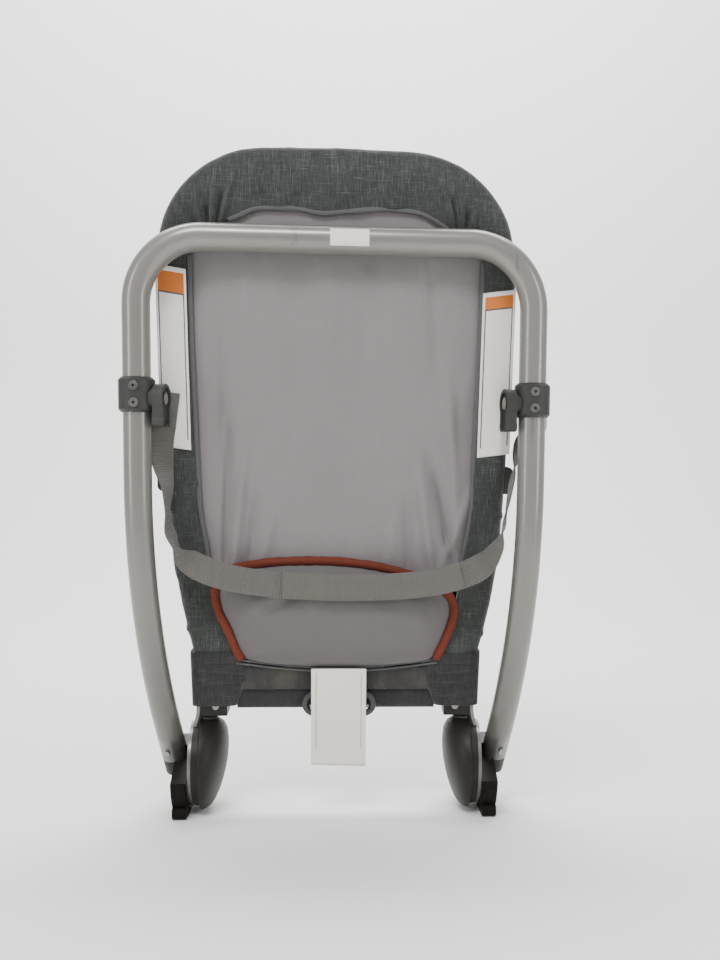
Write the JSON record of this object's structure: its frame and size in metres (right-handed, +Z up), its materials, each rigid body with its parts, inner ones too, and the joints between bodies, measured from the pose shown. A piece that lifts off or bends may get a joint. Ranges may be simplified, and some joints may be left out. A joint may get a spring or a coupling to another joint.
{
  "type": "baby bouncer seat",
  "caption": "Folding baby bouncer: tweed seat on an inner tube frame, hinged to a U-shaped rocker base, folded flat on its hub feet.",
  "frame": {"origin": "centre of the bounding box at floor level, between the two hub feet", "axes": "+Z up along the folded seat, +X to the right seen from behind, +Y towards the sitting side"},
  "size_m": [0.3957, 0.1255, 0.6331],
  "materials": {
    "frame_paint": "satin paint",
    "hub_plastic": "moulded, matt",
    "clamp_plastic": "moulded, matt",
    "foot_rubber": "ribbed rubber",
    "zinc_steel": "bright zinc",
    "webbing": "ribbed webbing",
    "tweed": "cross-hatched tweed",
    "tweed_flap": "cross-hatched tweed",
    "panel_fabric": "plain polyester",
    "liner_fabric": "padded, stitched",
    "piping_rust": "covered piping",
    "tag_white": "satin label tape",
    "black_plastic": "moulded",
    "button_rust": "moulded"
  },
  "bodies": {
    "base": {"base_tube": "frame_paint", "hub_housing_left": "hub_plastic", "hub_housing_right": "hub_plastic", "hub_dome_left": "hub_plastic", "hub_dome_right": "hub_plastic", "hub_axle_left": "zinc_steel", "hub_axle_right": "zinc_steel", "foot_pad_left": "foot_rubber", "foot_pad_right": "foot_rubber", "rail_end_rivets": "zinc_steel", "rail_clamp_left": "clamp_plastic", "rail_clamp_right": "clamp_plastic", "clamp_rivets": "zinc_steel", "kickstand_screw_left": "zinc_steel", "kickstand_screw_right": "zinc_steel", "carry_strap": "webbing", "strap_grip": "webbing", "crossbar_sticker": "tag_white"},
    "kickstand_left": {"kickstand_left": "clamp_plastic"},
    "kickstand_right": {"kickstand_right": "clamp_plastic"},
    "release_button_left": {"release_button_left": "clamp_plastic", "button_spring_left": "zinc_steel"},
    "release_button_right": {"release_button_right": "clamp_plastic", "button_spring_right": "zinc_steel"},
    "seat": {"seat_tube": "frame_paint", "lower_cross_tube": "frame_paint", "seat_arm_left": "hub_plastic", "seat_arm_right": "hub_plastic", "arm_plate_left": "frame_paint", "arm_plate_right": "frame_paint", "arm_rivets": "zinc_steel", "head_cover": "tweed", "side_sleeve_left": "tweed", "side_sleeve_right": "tweed", "lower_flap_left": "tweed_flap", "lower_flap_right": "tweed_flap", "lower_sleeve": "tweed", "lower_webbing": "webbing", "back_panel": "panel_fabric", "seat_bucket": "panel_fabric", "bucket_piping": "piping_rust", "seat_liner": "liner_fabric", "crotch_ring": "black_plastic", "ring_bar": "zinc_steel", "care_tag": "tag_white", "side_label_left": "tag_white", "side_label_right": "tag_white", "toy_bar_socket_left": "clamp_plastic", "toy_bar_socket_right": "clamp_plastic", "crotch_strap": "webbing", "waist_strap_left": "webbing", "waist_strap_right": "webbing", "buckle": "black_plastic"},
    "buckle_button": {"buckle_button": "button_rust"}
  },
  "joints": [
    {"name": "seat_fold", "type": "hinge", "parent": "base", "child": "seat", "pos_m": [0, 0.014, 0.047], "axis": [-1, 0, 0], "range_deg": [0, 45]},
    {"name": "kickstand_left_swing", "type": "hinge", "parent": "base", "child": "kickstand_left", "pos_m": [-0.15883, -0.04882, 0.3985], "axis": [-0.9848, 0.1736, 0], "range_deg": [0, 90]},
    {"name": "kickstand_right_swing", "type": "hinge", "parent": "base", "child": "kickstand_right", "pos_m": [0.15883, -0.04882, 0.3985], "axis": [-0.9848, -0.1736, 0], "range_deg": [0, 90]},
    {"name": "release_left_press", "type": "slide", "parent": "base", "child": "release_button_left", "axis": [1, 0, 0], "range_m": [0, 0.004], "stiffness_N_per_m": 500, "springref_m": -0.003},
    {"name": "release_right_press", "type": "slide", "parent": "base", "child": "release_button_right", "axis": [-1, 0, 0], "range_m": [0, 0.004], "stiffness_N_per_m": 500, "springref_m": -0.003},
    {"name": "buckle_press", "type": "slide", "parent": "seat", "child": "buckle_button", "axis": [0, -0.9981, -0.061], "range_m": [0, 0.003], "stiffness_N_per_m": 300, "springref_m": -0.002}
  ]
}
